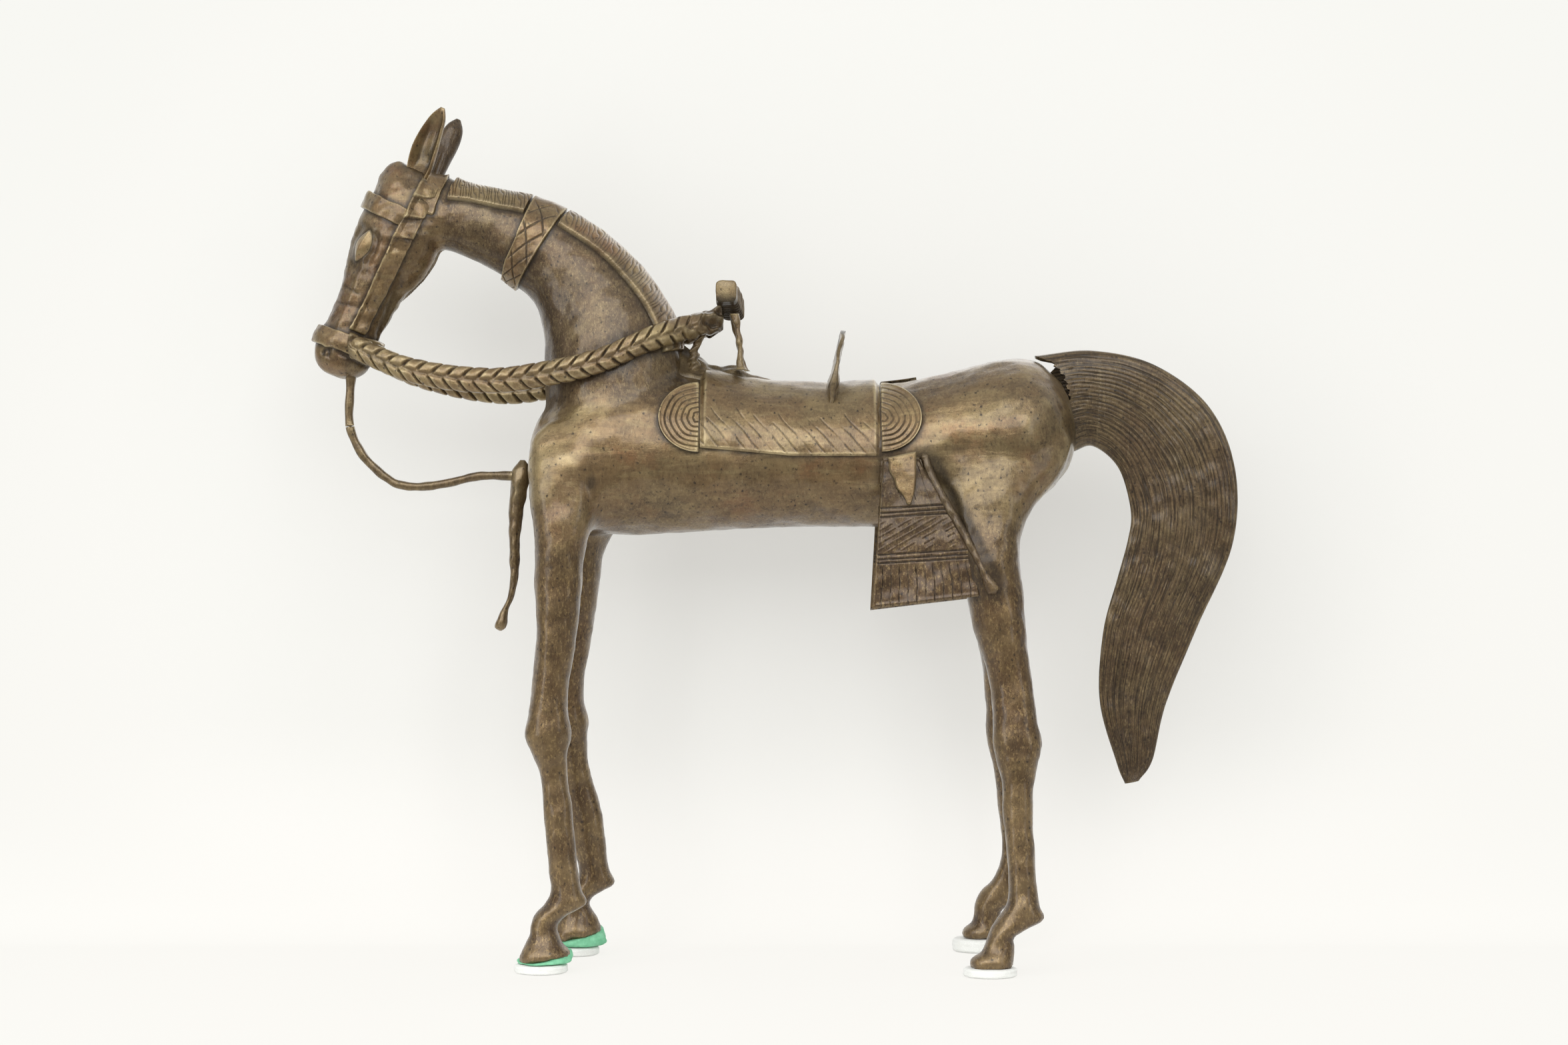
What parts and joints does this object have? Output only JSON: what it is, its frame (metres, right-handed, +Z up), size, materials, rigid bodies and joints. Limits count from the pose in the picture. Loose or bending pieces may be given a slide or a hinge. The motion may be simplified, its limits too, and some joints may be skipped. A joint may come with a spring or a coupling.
{
  "type": "bronze horse sculpture",
  "caption": "Standing saddled and bridled riding horse, cast in bronze, with plaited reins, a raised tail and felt pads under its hooves.",
  "frame": {"origin": "middle of the box round the whole horse, on the floor under the felt pads", "axes": "+X towards the tail, +Y towards the horse's right side, +Z up"},
  "size_m": [0.4432, 0.117, 0.4087],
  "materials": {
    "body_bronze": "aged bronze, dark in the hollows and worn to gold on the high places",
    "leg_bronze": "aged bronze, darker than the body",
    "trim_bronze": "aged bronze with engraved and plaited ornament",
    "felt": "white felt",
    "putty": "matte green setting putty"
  },
  "bodies": {
    "root": {"torso": "body_bronze", "neck": "body_bronze", "head": "body_bronze", "foreleg_left": "leg_bronze", "foreleg_right": "leg_bronze", "hind_leg_left": "leg_bronze", "hind_leg_right": "leg_bronze", "tail": "body_bronze", "ear_left": "body_bronze", "ear_right": "body_bronze", "eye_left": "body_bronze", "eye_right": "body_bronze", "mane_upper": "body_bronze", "mane_lower": "body_bronze", "neck_collar": "trim_bronze", "cheek_strap_left": "trim_bronze", "cheek_strap_right": "trim_bronze", "browband": "trim_bronze", "noseband": "trim_bronze", "crown_strap": "trim_bronze", "rein_left": "trim_bronze", "rein_right": "trim_bronze", "lead_rein_drop": "trim_bronze", "lead_rein_run": "trim_bronze", "chest_pendant": "trim_bronze", "saddle_cloth": "trim_bronze", "pommel_rim": "trim_bronze", "roundel_front_left": "trim_bronze", "roundel_front_right": "trim_bronze", "roundel_rear_left": "trim_bronze", "roundel_rear_right": "trim_bronze", "cantle": "trim_bronze", "rein_bar": "trim_bronze", "rein_bar_strut_left": "trim_bronze", "rein_bar_strut_right": "trim_bronze", "flap_left": "trim_bronze", "flap_right": "trim_bronze", "flap_tab_left": "trim_bronze", "flap_tab_right": "trim_bronze", "flap_stay_left": "trim_bronze", "flap_stay_right": "trim_bronze", "foot_pad_foreleg_left": "felt", "foot_pad_foreleg_right": "felt", "foot_pad_hind_leg_left": "felt", "foot_pad_hind_leg_right": "felt", "putty_foreleg_left": "putty", "putty_foreleg_right": "putty"}
  },
  "joints": []
}
